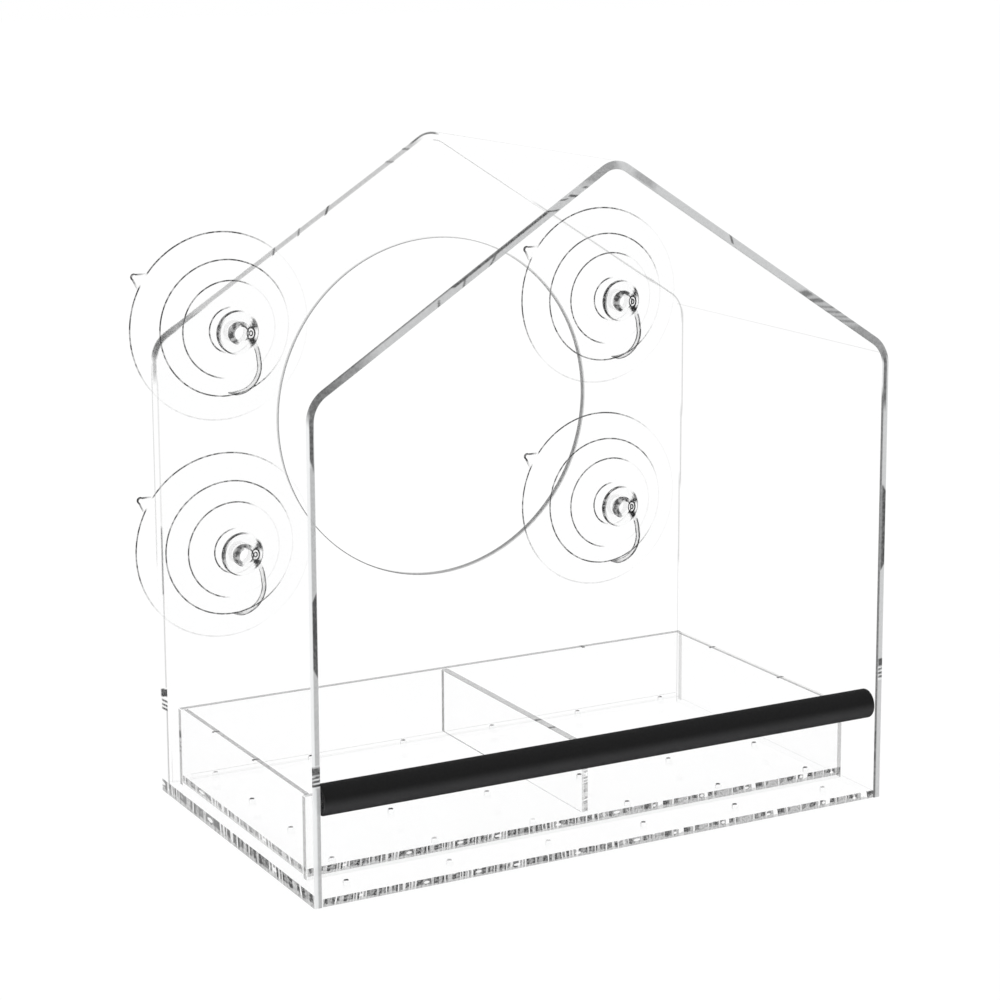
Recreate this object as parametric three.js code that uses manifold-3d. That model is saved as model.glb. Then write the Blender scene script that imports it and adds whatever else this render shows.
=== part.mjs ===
// Window bird feeder: a clear acrylic house with a padded perch, a two-compartment
// lift-out seed tray and four suction cups that hold it against a window pane.
// Millimetres. X runs to the right, Y from the open front to the window, Z up.

import * as THREE from "three";
import { mergeVertices } from "three/addons/utils/BufferGeometryUtils.js";
import Module from "manifold-3d";

const wasm = await Module();
wasm.setup();

// House

const houseWidth = 200;
const houseDepth = 121;
const eaveHeight = 148;
const peakHeight = 212.5;
const sheet = 2.5;
const eaveBendRadius = 11;
const peakBendRadius = 8.5;
const bondGap = 0.1;
const viewOpeningRoofMargin = 21.9;
const bendSteps = 8;
const viewOpeningSides = 72;

// Drain holes, in the same columns through the house floor and the tray floor

const drainRadius = 1.25;
const drainSides = 12;
const drainColumns = 6;
const drainRows = 4;
const drainSideMargin = 12.5;
const floorDrainMargin = 10.6;

// Tray

const traySideGap = 2;
const trayBackGap = 2;
const trayFrontSetback = 15.5;
const trayHeight = 25.8;
const traySheet = 2.5;
const trayFloorLift = 1.3;
const trayDrainMargin = 5;

// Perch

const perchRadius = 4.7;
const perchRodRadius = 3;
const perchHeight = 30.65;
const perchInset = 0.1;
const perchSides = 32;

// Suction cups: radii from their axis and depths behind the back panel

const cupSideMargin = 28.5;
const cupOpeningMargin = 14.2;
const cupRoofMargin = 14.2;
const cupRimSpacing = 9.5;
const neckRadius = 3;
const neckClearance = 0.3;
const seatGap = 0.3;
const hubFrontRadius = 7.4;
const hubBackRadius = 8;
const hubLength = 2;
const innerStepRadius = 16.4;
const innerStepDepth = 3.9;
const outerStepRadius = 22.8;
const outerStepDepth = 7.6;
const stepHeight = 1.1;
const rimRadius = 31.8;
const rimDepth = 12.6;
const rimThickness = 1.1;
const rimLand = 3;
const hollowDepth = 6.6;
const headLip = 0.8;
const headLength = 2.6;
const headRounding = 0.9;
const cupSides = 40;

// Pull tab on each cup's rim

const tabReach = 3.4;
const tabRootWidth = 6.6;
const tabTipWidth = 2.4;
const tabOverlap = 1.2;
const tabThickness = 1.1;
const tabAngle = THREE.MathUtils.degToRad(148);

// Hook on each cup's neck: a ring plate and a J-shaped rod

const plateRadius = 7.2;
const plateThickness = 1.5;
const plateGap = 0.2;
const hookRodRadius = 0.9;
const hookBendRadius = 9.1;
const hookBendAside = -1.4;
const hookBendDrop = 11.7;
const hookStartAngle = THREE.MathUtils.degToRad(42);
const hookEndAngle = THREE.MathUtils.degToRad(-114);
const plateSides = 28;
const hookRodSides = 8;
const hookSteps = 16;

// Sizes that follow from the ones above

const halfWidth = houseWidth / 2;
const innerHalfWidth = halfWidth - sheet;
const floorTop = sheet;
const panelFront = houseDepth - sheet;
const windowPlane = houseDepth + rimDepth;
const roofSlope = Math.atan2(peakHeight - eaveHeight, halfWidth);
const cupOffset = halfWidth - cupSideMargin;
const viewOpeningRadius = cupOffset - cupOpeningMargin;
const viewOpeningHeight =
  peakHeight - (viewOpeningRadius + viewOpeningRoofMargin) / Math.cos(roofSlope);
const trayHalfWidth = innerHalfWidth - traySideGap;
const trayBack = panelFront - trayBackGap;
const trayFloorBottom = floorTop + trayFloorLift;
const trayFloorTop = trayFloorBottom + traySheet;
const trayTop = floorTop + trayHeight;
const upperCupHeight =
  peakHeight - cupOffset * Math.tan(roofSlope) - cupRoofMargin / Math.cos(roofSlope);
const lowerCupHeight = upperCupHeight - 2 * rimRadius - cupRimSpacing;
const neckHoleRadius = neckRadius + neckClearance;
const headRadius = neckRadius + headLip;
const plateBack = sheet + plateGap;
const plateFront = plateBack + plateThickness;
const headBack = plateFront + seatGap;
const headFront = headBack + headLength;
const hubDepth = seatGap + hubLength;

// Materials

const clearAcrylic = () =>
  new THREE.MeshStandardMaterial({
    color: 0xf2f5f6,
    roughness: 0.04,
    metalness: 0,
    transparent: true,
    opacity: 0.3,
  });
const clearVinyl = () =>
  new THREE.MeshStandardMaterial({
    color: 0xeceff0,
    roughness: 0.12,
    metalness: 0,
    transparent: true,
    opacity: 0.4,
  });
const blackRubber = () =>
  new THREE.MeshStandardMaterial({ color: 0x1e1e1f, roughness: 0.62, metalness: 0 });

// Solids

function toSolid(geometry) {
  const bare = geometry.index ? geometry.toNonIndexed() : geometry.clone();
  bare.deleteAttribute("normal");
  bare.deleteAttribute("uv");
  const merged = mergeVertices(bare);
  return new wasm.Manifold(
    new wasm.Mesh({
      numProp: 3,
      vertProperties: merged.attributes.position.array,
      triVerts: new Uint32Array(merged.index.array),
    }),
  );
}

function toGeometry(solid) {
  const mesh = solid.getMesh();
  const geometry = new THREE.BufferGeometry();
  geometry.setAttribute("position", new THREE.BufferAttribute(mesh.vertProperties, 3));
  geometry.setIndex(new THREE.BufferAttribute(mesh.triVerts, 1));
  geometry.computeVertexNormals();
  return geometry;
}

function named(name, geometry, material) {
  const mesh = new THREE.Mesh(geometry, material);
  mesh.name = name;
  return mesh;
}

// A flat sheet cut to an outline and laid level, from height `bottom` up.
function levelSheet(name, shape, thickness, bottom, material) {
  const geometry = new THREE.ExtrudeGeometry(shape, { depth: thickness, bevelEnabled: false });
  const mesh = named(name, geometry, material);
  mesh.position.z = bottom;
  return mesh;
}

// A flat sheet cut to an outline in X and Z that stands across the house, its back face at `back`.
function standingSheet(name, shape, thickness, back, material) {
  const geometry = new THREE.ExtrudeGeometry(shape, {
    depth: thickness,
    bevelEnabled: false,
    curveSegments: viewOpeningSides,
  });
  const mesh = named(name, geometry, material);
  mesh.rotation.x = Math.PI / 2;
  mesh.position.y = back;
  return mesh;
}

// A flat rectangular panel between two opposite corners.
function panel(name, low, high, material) {
  const size = high.clone().sub(low);
  const mesh = named(name, new THREE.BoxGeometry(size.x, size.y, size.z), material);
  mesh.position.copy(low).add(high).multiplyScalar(0.5);
  return mesh;
}

function rectangle(left, front, right, back) {
  const shape = new THREE.Shape();
  shape.moveTo(left, front);
  shape.lineTo(right, front);
  shape.lineTo(right, back);
  shape.lineTo(left, back);
  shape.closePath();
  return shape;
}

function roundHole(x, y, radius, sides) {
  const points = [];
  for (let i = 0; i < sides; i++) {
    const angle = (-2 * Math.PI * i) / sides;
    points.push(new THREE.Vector2(x + radius * Math.cos(angle), y + radius * Math.sin(angle)));
  }
  return new THREE.Path(points);
}

// The drain holes stand in a grid of columns across and rows from front to back.
function drainGrid(shape, firstRow, lastRow) {
  const side = innerHalfWidth - drainSideMargin;
  for (let column = 0; column < drainColumns; column++) {
    const x = THREE.MathUtils.lerp(-side, side, column / (drainColumns - 1));
    for (let row = 0; row < drainRows; row++) {
      const y = THREE.MathUtils.lerp(firstRow, lastRow, row / (drainRows - 1));
      shape.holes.push(roundHole(x, y, drainRadius, drainSides));
    }
  }
}

// Bent house outline: left wall, left roof, right roof and right wall of one sheet.

const bendCorners = (foot) => [
  new THREE.Vector2(-halfWidth, foot),
  new THREE.Vector2(-halfWidth, eaveHeight),
  new THREE.Vector2(0, peakHeight),
  new THREE.Vector2(halfWidth, eaveHeight),
  new THREE.Vector2(halfWidth, foot),
];
const bendRadii = [0, eaveBendRadius, peakBendRadius, eaveBendRadius, 0];

// The outline moved inwards by `inset`, with a round bend at each corner.
function bentLine(foot, inset) {
  const corners = bendCorners(foot);
  const inward = (from, to) => {
    const along = to.clone().sub(from).normalize();
    return new THREE.Vector2(along.y, -along.x);
  };
  const points = [corners[0].clone().addScaledVector(inward(corners[0], corners[1]), inset)];
  for (let i = 1; i < corners.length - 1; i++) {
    const before = corners[i].clone().sub(corners[i - 1]).normalize();
    const normalIn = inward(corners[i - 1], corners[i]);
    const normalOut = inward(corners[i], corners[i + 1]);
    const turn = normalIn.angle() - normalOut.angle();
    const sweep = THREE.MathUtils.euclideanModulo(turn, 2 * Math.PI);
    const tangent = bendRadii[i] * Math.tan(sweep / 2);
    const centre = corners[i].clone().addScaledVector(before, -tangent);
    centre.addScaledVector(normalIn, bendRadii[i]);
    const start = normalIn.angle() + Math.PI;
    for (let step = 0; step <= bendSteps; step++) {
      const angle = start - (sweep * step) / bendSteps;
      const offset = new THREE.Vector2(Math.cos(angle), Math.sin(angle));
      points.push(centre.clone().addScaledVector(offset, bendRadii[i] - inset));
    }
  }
  const last = corners.length - 1;
  const endNormal = inward(corners[last - 1], corners[last]);
  points.push(corners[last].clone().addScaledVector(endNormal, inset));
  return points;
}

function houseShell() {
  const outline = [...bentLine(0, 0), ...bentLine(0, sheet).reverse()];
  const shape = new THREE.Shape(outline);
  return standingSheet("house_shell", shape, houseDepth, houseDepth, clearAcrylic());
}

// Places of the four cup axes on the back panel, as seen from the open front.
const cupPlaces = [
  { side: "upper_left", x: -cupOffset, z: upperCupHeight },
  { side: "upper_right", x: cupOffset, z: upperCupHeight },
  { side: "lower_left", x: -cupOffset, z: lowerCupHeight },
  { side: "lower_right", x: cupOffset, z: lowerCupHeight },
];

// The back panel fills the back end of the house and stands on its floor.
function backPanel() {
  const shape = new THREE.Shape(bentLine(floorTop + bondGap, sheet + bondGap).reverse());
  shape.holes.push(roundHole(0, viewOpeningHeight, viewOpeningRadius, viewOpeningSides));
  for (const { x, z } of cupPlaces) {
    shape.holes.push(roundHole(x, z, neckHoleRadius, plateSides));
  }
  return standingSheet("back_panel", shape, sheet, houseDepth, clearAcrylic());
}

function floorPanel() {
  const reach = innerHalfWidth - bondGap;
  const shape = rectangle(-reach, 0, reach, houseDepth);
  drainGrid(shape, floorDrainMargin, houseDepth - floorDrainMargin);
  return levelSheet("floor_panel", shape, sheet, 0, clearAcrylic());
}

// Perch: a rod between the side walls with a soft black sleeve along it

function perchParts() {
  const length = 2 * (innerHalfWidth - bondGap);
  const rodShape = new THREE.CylinderGeometry(
    perchRodRadius,
    perchRodRadius,
    length,
    perchSides,
  );
  const bore = perchRodRadius + bondGap;
  const half = length / 2;
  const sleeveProfile = [
    new THREE.Vector2(bore, -half),
    new THREE.Vector2(perchRadius, -half),
    new THREE.Vector2(perchRadius, half),
    new THREE.Vector2(bore, half),
    new THREE.Vector2(bore, -half),
  ];
  const sleeveShape = new THREE.LatheGeometry(sleeveProfile, perchSides);
  const perch = new THREE.Group();
  perch.add(named("perch_rod", rodShape, clearAcrylic()));
  perch.add(named("perch_sleeve", sleeveShape, blackRubber()));
  perch.rotation.z = Math.PI / 2;
  perch.position.set(0, perchRadius + perchInset, perchHeight);
  return perch;
}

// Tray: four walls round a drilled floor, with a divider across the middle

function trayParts() {
  const left = -trayHalfWidth;
  const right = trayHalfWidth;
  const front = trayFrontSetback;
  const inFront = front + traySheet;
  const inBack = trayBack - traySheet;
  const inLeft = left + traySheet;
  const inRight = right - traySheet;
  const at = (x, y, z) => new THREE.Vector3(x, y, z);
  const tray = new THREE.Group();
  tray.add(
    panel("tray_front_wall", at(left, front, floorTop), at(right, inFront, trayTop), clearAcrylic()),
    panel("tray_back_wall", at(left, inBack, floorTop), at(right, trayBack, trayTop), clearAcrylic()),
    panel(
      "tray_left_wall",
      at(left, inFront + bondGap, floorTop),
      at(inLeft, inBack - bondGap, trayTop),
      clearAcrylic(),
    ),
    panel(
      "tray_right_wall",
      at(inRight, inFront + bondGap, floorTop),
      at(right, inBack - bondGap, trayTop),
      clearAcrylic(),
    ),
    panel(
      "tray_divider",
      at(-traySheet / 2, inFront + bondGap, trayFloorTop + bondGap),
      at(traySheet / 2, inBack - bondGap, trayTop),
      clearAcrylic(),
    ),
  );
  const shape = rectangle(
    inLeft + bondGap,
    inFront + bondGap,
    inRight - bondGap,
    inBack - bondGap,
  );
  drainGrid(shape, front + trayDrainMargin, trayBack - trayDrainMargin);
  tray.add(levelSheet("tray_floor", shape, traySheet, trayFloorBottom, clearAcrylic()));
  return tray;
}

// A suction cup of soft clear vinyl. Its axis is the local Y axis, and Y is zero at the
// panel's back face: the head and neck are in front of it, the stepped dome behind.
function suctionCup(name) {
  const hollowShare = [0.9, 0.62, 0.3];
  const hollowDepthShare = [0.32, 0.72, 0.94];
  const p = (radius, depth) => new THREE.Vector2(radius, depth);
  const profile = [
    p(0, -headFront),
    p(headRadius - 2 * headRounding, -headFront),
    p(headRadius - headRounding, -headFront + headRounding / 2),
    p(headRadius, -headBack - headRounding),
    p(headRadius, -headBack),
    p(neckRadius, -headBack),
    p(neckRadius, seatGap),
    p(hubFrontRadius, seatGap),
    p(hubBackRadius, hubDepth),
    p((hubBackRadius + innerStepRadius) / 2, (hubDepth + innerStepDepth) / 2 - stepHeight),
    p(innerStepRadius - stepHeight, innerStepDepth - stepHeight),
    p(innerStepRadius, innerStepDepth),
    p((innerStepRadius + outerStepRadius) / 2, (innerStepDepth + outerStepDepth) / 2 - stepHeight / 2),
    p(outerStepRadius - stepHeight / 2, outerStepDepth - stepHeight),
    p(outerStepRadius, outerStepDepth),
    p((outerStepRadius + rimRadius) / 2, (outerStepDepth + rimDepth - rimThickness) / 2),
    p(rimRadius, rimDepth - rimThickness),
    p(rimRadius, rimDepth),
    p(rimRadius - rimLand, rimDepth),
    ...hollowShare.map((share, i) =>
      p((rimRadius - rimLand) * share, rimDepth - hollowDepth * hollowDepthShare[i]),
    ),
    p(0, rimDepth - hollowDepth),
  ];
  const dome = toSolid(new THREE.LatheGeometry(profile, cupSides));

  const outline = new THREE.Shape();
  outline.moveTo(rimRadius - tabOverlap, -tabRootWidth / 2);
  outline.lineTo(rimRadius + tabReach - tabTipWidth / 2, -tabTipWidth / 2);
  outline.absarc(
    rimRadius + tabReach - tabTipWidth / 2,
    0,
    tabTipWidth / 2,
    -Math.PI / 2,
    Math.PI / 2,
    false,
  );
  outline.lineTo(rimRadius - tabOverlap, tabRootWidth / 2);
  outline.closePath();
  const tab = new THREE.ExtrudeGeometry(outline, {
    depth: tabThickness,
    bevelEnabled: false,
    curveSegments: bendSteps,
  });
  tab.rotateX(Math.PI / 2);
  tab.rotateY(-tabAngle);
  tab.translate(0, rimDepth, 0);
  return named(name, toGeometry(dome.add(toSolid(tab))), clearVinyl());
}

// A hook of stiff clear plastic, hung on a cup's neck between the panel and the cup's head.
function cupHook(name) {
  const plateProfile = [
    new THREE.Vector2(neckHoleRadius, -plateFront),
    new THREE.Vector2(plateRadius, -plateFront),
    new THREE.Vector2(plateRadius, -plateBack),
    new THREE.Vector2(neckHoleRadius, -plateBack),
    new THREE.Vector2(neckHoleRadius, -plateFront),
  ];
  const plate = toSolid(new THREE.LatheGeometry(plateProfile, plateSides));

  const depth = -plateBack - hookRodRadius;
  const along = [];
  for (let i = 0; i <= hookSteps; i++) {
    const angle = THREE.MathUtils.lerp(hookStartAngle, hookEndAngle, i / hookSteps);
    const x = hookBendAside + hookBendRadius * Math.cos(angle);
    const z = -hookBendDrop + hookBendRadius * Math.sin(angle);
    along.push(new THREE.Vector3(x, depth, z));
  }
  const root = new THREE.Vector2(along[0].x, along[0].z).setLength((neckHoleRadius + plateRadius) / 2);
  along.unshift(new THREE.Vector3(root.x, depth, root.y));
  const section = new THREE.Shape(roundHole(0, 0, hookRodRadius, hookRodSides).getPoints());
  const rod = new THREE.ExtrudeGeometry(section, {
    steps: hookSteps + 1,
    extrudePath: new THREE.CatmullRomCurve3(along),
    bevelEnabled: false,
  });
  const tip = new THREE.SphereGeometry(hookRodRadius, hookRodSides, hookRodSides / 2);
  tip.translate(...along.at(-1).toArray());
  const solid = plate.add(toSolid(rod)).add(toSolid(tip));
  return named(name, toGeometry(solid), clearAcrylic());
}

// The whole feeder, its origin in the middle of its footprint on the ground

const feeder = new THREE.Group();
feeder.position.y = -windowPlane / 2;
feeder.add(houseShell(), backPanel(), floorPanel(), perchParts(), trayParts());
for (const { side, x, z } of cupPlaces) {
  const station = new THREE.Group();
  station.position.set(x, houseDepth, z);
  station.add(suctionCup(`suction_cup_${side}`), cupHook(`cup_hook_${side}`));
  feeder.add(station);
}
const whole = new THREE.Group();
whole.add(feeder);

export default whole;
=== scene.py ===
"""Window bird feeder: clear acrylic house, padded perch, divided tray and four suction cups."""

import math
from itertools import product

import bpy
from bpy.props import FloatProperty, FloatVectorProperty, IntProperty, PointerProperty
from mathutils import Matrix, Vector
from mathutils.geometry import tessellate_polygon


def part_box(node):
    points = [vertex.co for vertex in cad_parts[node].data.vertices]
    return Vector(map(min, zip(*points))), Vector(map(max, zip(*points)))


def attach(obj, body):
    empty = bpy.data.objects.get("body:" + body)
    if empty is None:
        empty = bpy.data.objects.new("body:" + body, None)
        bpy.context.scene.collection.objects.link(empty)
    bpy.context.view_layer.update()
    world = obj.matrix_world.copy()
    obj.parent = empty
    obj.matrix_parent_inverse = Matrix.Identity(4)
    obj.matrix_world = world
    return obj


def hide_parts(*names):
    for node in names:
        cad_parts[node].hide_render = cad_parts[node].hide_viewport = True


bl_info = {
    "name": "Window Bird Feeder",
    "version": (1, 0, 0),
    "blender": (4, 5, 0),
    "location": "View3D > Sidebar > Feeder",
    "description": "Builds a clear window bird feeder and its studio",
    "category": "Add Mesh",
}

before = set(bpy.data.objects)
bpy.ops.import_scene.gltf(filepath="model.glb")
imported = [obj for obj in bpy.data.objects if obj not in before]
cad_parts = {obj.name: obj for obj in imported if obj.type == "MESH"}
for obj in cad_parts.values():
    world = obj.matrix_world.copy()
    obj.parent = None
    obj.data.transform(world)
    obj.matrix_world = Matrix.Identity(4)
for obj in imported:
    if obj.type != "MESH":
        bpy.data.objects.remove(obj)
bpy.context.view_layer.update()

MM = 0.001
# Gap of a bond line, and clearance round a cup's neck, as in the solids
BOND_GAP = 0.0001
NECK_PLAY = 0.0003
TINY = 1e-5
SIDES = ("upper_left", "upper_right", "lower_left", "lower_right")


# Sizes and colours


def length_of(name, description, default):
    """A length in metres that a user can change."""
    return FloatProperty(name=name, description=description, default=default, unit="LENGTH")


def count_of(name, description, default):
    """A whole number that a user can change."""
    return IntProperty(name=name, description=description, default=default)


def colour_of(name, description, default):
    """A colour that a user can change."""
    return FloatVectorProperty(name=name, description=description, default=default, subtype="COLOR")


class SheetSizes(bpy.types.PropertyGroup):
    thickness: length_of("Thickness", "Thickness of the acrylic sheet", 0.0025)
    edge_break: length_of("Edge break", "Width of the polished edge break", 0.0003)
    eave_bend: length_of("Eave bend", "Outer bend radius at the eaves", 0.011)
    peak_bend: length_of("Peak bend", "Outer bend radius at the ridge", 0.0085)
    eave_height: length_of("Eave height", "Height where wall and roof planes meet", 0.148)
    peak_height: length_of("Peak height", "Height where the roof planes meet", 0.2125)
    opening_radius: length_of("Opening", "Radius of the round back opening", 0.0573)
    opening_height: length_of("Opening height", "Height of the opening's centre", 0.118254)
    drain_radius: length_of("Drain hole", "Radius of a drain hole", 0.00125)
    drain_columns: count_of("Drain columns", "Drain holes across", 6)
    drain_rows: count_of("Drain rows", "Drain holes front to back", 4)
    tint: colour_of("Sheet", "Colour of the clear sheet", (0.93, 0.94, 0.945))
    # The cut edge colour is the dark that the painted edge shade mixes in
    cut: colour_of("Cut edge", "Colour deep in a cut edge", (0.035, 0.036, 0.037))


class CupSizes(bpy.types.PropertyGroup):
    neck: length_of("Neck", "Radius of the cup's neck", 0.003)
    rim: length_of("Rim", "Radius of the cup's rim", 0.0318)
    line: length_of("Step line", "Width of a moulded step's edge", 0.00048)
    sides: count_of("Segments", "Segments round a cup", 120)
    tint: colour_of("Vinyl", "Colour of the clear vinyl", (0.9, 0.91, 0.915))


class PerchSizes(bpy.types.PropertyGroup):
    radius: length_of("Sleeve", "Radius of the perch sleeve", 0.0047)
    colour: colour_of("Rubber", "Colour of the sleeve", (0.0095, 0.0095, 0.0098))


class StageSizes(bpy.types.PropertyGroup):
    lens: length_of("Lens", "Focal length", 0.09517)
    backdrop: colour_of("Backdrop", "Colour behind the feeder", (1.0, 1.0, 1.0))
    fill: FloatProperty(name="Fill", description="Strength of the even light", default=0.95)


# Materials


class Val:
    """A node output that takes part in arithmetic; each operation adds a Math node."""

    def __init__(self, shade, socket):
        self.shade = shade
        self.socket = socket

    def _do(self, operation, *others):
        return self.shade.node("ShaderNodeMath", {"operation": operation}, *others)

    def __add__(self, other):
        return self._do("ADD", self, other)

    __radd__ = __add__

    def __sub__(self, other):
        return self._do("SUBTRACT", self, other)

    def __rsub__(self, other):
        return self._do("SUBTRACT", other, self)

    def __mul__(self, other):
        return self._do("MULTIPLY", self, other)

    __rmul__ = __mul__

    def __truediv__(self, other):
        return self._do("DIVIDE", self, other)

    def floor(self):
        return self._do("FLOOR", self)

    def most(self, other):
        return self._do("MAXIMUM", self, other)

    def least(self, other):
        return self._do("MINIMUM", self, other)

    def part(self, name):
        """A component of a vector output."""
        split = self.shade.node("ShaderNodeSeparateXYZ", {}, self, whole=True)
        return Val(self.shade, split.outputs[name])

    def ramp(self, low, high, to_low=0.0, to_high=1.0):
        """A smooth step from one level to another."""
        return self.shade.node(
            "ShaderNodeMapRange", {"interpolation_type": "SMOOTHSTEP"}, self, low, high, to_low, to_high
        )


class Shade:
    """A material under construction."""

    def __init__(self, name):
        self.material = bpy.data.materials.new(name)
        self.material.use_nodes = True
        self.tree = self.material.node_tree
        self.tree.nodes.clear()
        self.surface = self.tree.nodes.new("ShaderNodeBsdfPrincipled")
        output = self.tree.nodes.new("ShaderNodeOutputMaterial")
        self.tree.links.new(self.surface.outputs[0], output.inputs["Surface"])

    def feed(self, socket, value):
        if isinstance(value, Val):
            self.tree.links.new(value.socket, socket)
        else:
            socket.default_value = value

    def node(self, kind, settings, *values, whole=False, output=0, **named):
        made = self.tree.nodes.new(kind)
        for key, value in settings.items():
            setattr(made, key, value)
        for socket, value in zip(made.inputs, values):
            self.feed(socket, value)
        for key, value in named.items():
            self.feed(made.inputs[key.replace("_", " ")], value)
        return made if whole else Val(self, made.outputs[output])

    def attribute(self, name):
        return self.node("ShaderNodeAttribute", {"attribute_name": name}, output="Fac")

    def place(self):
        return self.node("ShaderNodeTexCoord", {}, output="Object")

    def along(self):
        return self.node("ShaderNodeUVMap", {"uv_map": "edge"})

    def noise(self, vector, scale, detail=2.0, roughness=0.5):
        return self.node(
            "ShaderNodeTexNoise", {}, Vector=vector, Scale=scale, Detail=detail, Roughness=roughness
        )

    def chance(self, value):
        """A random number, the same wherever `value` is the same."""
        return self.node("ShaderNodeTexWhiteNoise", {"noise_dimensions": "1D"}, W=value)

    def bars(self, share, steps):
        """Bars: each step is where it starts, from 0 to 1, and its level."""
        made = self.node("ShaderNodeValToRGB", {}, share, whole=True)
        made.color_ramp.interpolation = "CONSTANT"
        stops = made.color_ramp.elements
        stops.remove(stops[1])
        stops[0].color = (steps[0][1],) * 3 + (1,)
        for start, level in steps[1:]:
            stops.new(start).color = (level,) * 3 + (1,)
        return Val(self, made.outputs["Color"])

    def mix(self, share, first, second):
        made = self.node("ShaderNodeMix", {"data_type": "RGBA"}, whole=True)
        self.feed(made.inputs["Factor"], share)
        for socket, value in ((made.inputs[6], first), (made.inputs[7], second)):
            self.feed(socket, value if isinstance(value, Val) else (*value, 1))
        return Val(self, made.outputs[2])

    def bump(self, height, strength, distance):
        return self.node(
            "ShaderNodeBump", {}, Strength=strength, Distance=distance, Height=height, output="Normal"
        )

    def finish(self, **inputs):
        for key, value in inputs.items():
            self.feed(self.surface.inputs[key.replace("_", " ")], value)
        return self.material


# Marks of a sawn edge over one run of the saw: where each starts (share of the run) and how
# dark it is; fine bars on the left, where the light rakes the edge, and blocks on the right
BARS = (
    (0.0, 1.0), (0.06, 0.1), (0.08, 0.72), (0.12, 0.15), (0.145, 0.74), (0.185, 0.1), (0.21, 1.0),
    (0.26, 0.8), (0.33, 1.0), (0.38, 0.3), (0.42, 1.0), (0.47, 0.7), (0.53, 1.0), (0.58, 0.05),
    (0.605, 1.0), (0.66, 0.32), (0.74, 1.0), (0.8, 0.75), (0.86, 1.0), (0.895, 0.1), (0.915, 0.88),
    (0.965, 0.15),
)
BLOCKS = (
    (0.0, 1.0), (0.11, 0.6), (0.15, 0.1), (0.175, 0.92), (0.25, 0.6), (0.31, 0.0), (0.39, 1.0),
    (0.51, 0.62), (0.56, 0.1), (0.585, 0.86), (0.65, 0.6), (0.77, 0.35), (0.82, 0.65), (0.865, 0.1),
    (0.89, 0.84), (0.96, 0.6),
)
# Length of one run, and where along an edge the bars give way to the blocks (mm)
SAW_RUN = 17.6
BARS_END = (96.0, 122.0)


def saw_marks(shade):
    """The chipped and barred look of a sawn edge inside clear sheet, 0 to 1."""
    edge = shade.along()
    u = edge.part("X") * 1000
    v = edge.part("Y") * 1000
    upright = shade.node("ShaderNodeVectorMath", {"operation": "MULTIPLY"}, edge, (1.0, 0.25, 1.0))
    broad = shade.noise(upright, 60.0, 2.0)
    wander = shade.noise(edge, 480.0, 2.0) - 0.5
    barred = 1 - u.ramp(*BARS_END)
    run = (u + broad * 14.0 + shade.noise(upright, 480.0, 2.0) * 0.8) / SAW_RUN
    place = run - run.floor()
    fine, blunt = shade.bars(place, BARS), shade.bars(place, BLOCKS)
    column = blunt + (fine - blunt) * barred
    lift = v + wander * 2.2
    upper = lift.ramp(0.95 - barred * 0.3, 1.2 - barred * 0.3)
    block = column * (barred * (1 - upper) * 0.6 + upper)
    gap = 1 - column.ramp(0.05, 0.3)
    ground = (0.54 - barred * 0.06) * (1 - gap * (0.35 + upper * 0.65))
    flat = run.floor()
    chip_u = (place - 0.05 - shade.chance(flat) * 0.3) * SAW_RUN
    chip_v = v - 1.2 - shade.chance(flat + 7.0) * 0.6
    chip = (chip_u * chip_u * 0.95 + chip_v * chip_v * 3.2).ramp(0.3, 0.7, 0.1, 1.0)
    speck = shade.noise(edge, 1500.0, 3.0).ramp(0.3, 0.7, 0.72, 1.12)
    rough_top = (2.75 - v - wander * 1.6).ramp(0.0, 0.3)
    return (block * 0.95).most(ground) * chip * speck * rough_top


def clear_material(name, tint, cut, body, roughness, grain, grain_scale):
    """Clear plastic: faces with a thin film of opacity `body`, and edges darkened by painted shade that
    stands for the light and reflections seen in clear edges.

    `grain` is how much the dark of an edge varies.
    """
    shade = Shade(name)
    place = shade.place()
    edge_shade = shade.attribute("edge_shade")
    mottle = shade.attribute("mottle")
    # Painted edge shade: greys that stand for the light and reflections seen in clear cut edges
    solid = shade.attribute("solid")
    streak = shade.noise(place, grain_scale, 3.0, 0.6).ramp(0.35, 0.65, 1 - grain, 1 + grain * 0.6)
    lined = edge_shade * streak
    dark = (mottle * saw_marks(shade)).most(lined).least(0.97)
    film = shade.noise(place, 35.0, 2.0)
    alpha = (body * (0.6 + film * 0.8)).most(dark).most(solid)
    colour = shade.mix(dark / alpha, tint, cut)
    scuffs = shade.noise(place, 90.0, 3.0)
    return shade.finish(
        Base_Color=colour, Roughness=roughness + scuffs * 0.1, Alpha=alpha, IOR=1.49,
        Specular_IOR_Level=0.25,
    )


def rubber_material(colour):
    """Black foam rubber: fine closed cells, and a paler band low on the sleeve that is a painted
    highlight, the white floor's reflection.
    """
    shade = Shade("foam_rubber")
    place = shade.place()
    cells = shade.node("ShaderNodeTexVoronoi", {}, Vector=place, Scale=1500.0, output="Distance")
    cloud = shade.noise(place, 60.0, 4.0)
    height = place.part("Z") * 1000  # in mm
    # Painted highlight: a paler band low on the sleeve, where the rubber would reflect the white floor
    highlight_band = height.ramp(25.9, 28.6) * (1 - height.ramp(29.0, 32.4))
    highlight_colour = tuple(c * 4.2 for c in colour)
    base = shade.mix((highlight_band * (0.8 + cloud * 0.4)).least(1.0), colour, highlight_colour)
    return shade.finish(
        Base_Color=base, Roughness=0.72 + cells * 0.2, Specular_IOR_Level=0.12,
        Normal=shade.bump(cells, 0.12, 0.00012),
    )


# Mesh helpers


def tone(grey):
    """The painted shade that turns white behind an edge into this display grey of 0 to 255."""
    c = grey / 255
    linear = c / 12.92 if c <= 0.04045 else ((c + 0.055) / 1.055) ** 2.4
    return min(max((1 - linear) / 0.965, 0.0), 0.97)


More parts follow.
